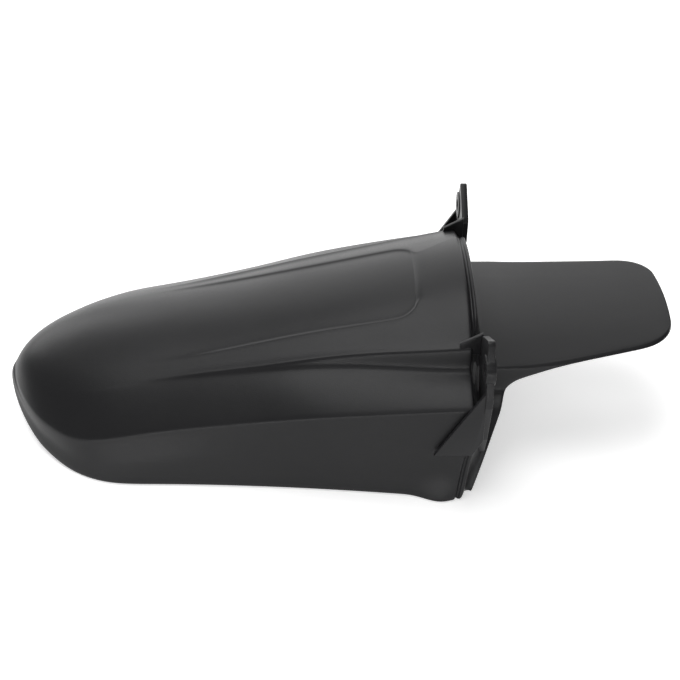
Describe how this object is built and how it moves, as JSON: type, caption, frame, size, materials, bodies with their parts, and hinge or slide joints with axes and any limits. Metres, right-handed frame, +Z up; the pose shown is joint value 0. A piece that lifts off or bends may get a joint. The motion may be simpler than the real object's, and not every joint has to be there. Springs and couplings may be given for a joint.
{
  "type": "motorcycle rear fender",
  "caption": "Rear fender for a motorcycle, moulded in one piece with a raised-line shell, a flat tongue, inner skirts and drilled mounting ears.",
  "frame": {"origin": "centre of the footprint, on the surface that the lower edges rest on", "axes": "+X from the round tip towards the tongue, +Y across the fender, +Z up"},
  "size_m": [0.449, 0.22, 0.1171],
  "materials": {
    "fender_plastic": "fine-grained matte moulding"
  },
  "bodies": {
    "root": {"fender": "fender_plastic"}
  },
  "joints": []
}
